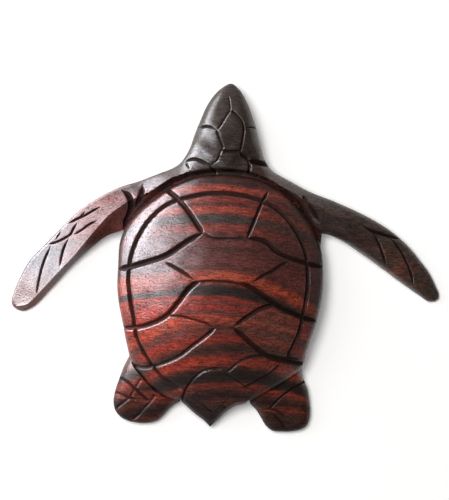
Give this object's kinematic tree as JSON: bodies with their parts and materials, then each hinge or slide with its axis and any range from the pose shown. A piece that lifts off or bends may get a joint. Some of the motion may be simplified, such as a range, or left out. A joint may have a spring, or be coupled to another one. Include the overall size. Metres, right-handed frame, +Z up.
{
  "type": "turtle figurine",
  "caption": "Low carved wooden sea turtle lying on a flat belly, with a grooved domed shell, a pointed head, wide swept front flippers, hind flippers and a short tail.",
  "frame": {"origin": "on the flat belly face, under the middle of the shell", "axes": "+Y towards the head, +Z up, +X towards the flipper on the right when seen from above with the head away from the viewer"},
  "size_m": [0.1493, 0.1207, 0.0245],
  "materials": {
    "striped_wood": "satin polish",
    "dark_band_wood": "satin polish"
  },
  "bodies": {
    "root": {"carapace": "striped_wood", "plastron": "dark_band_wood", "head": "dark_band_wood", "left_front_flipper": "striped_wood", "right_front_flipper": "striped_wood", "left_hind_flipper": "striped_wood", "right_hind_flipper": "striped_wood", "tail": "striped_wood"}
  },
  "joints": []
}
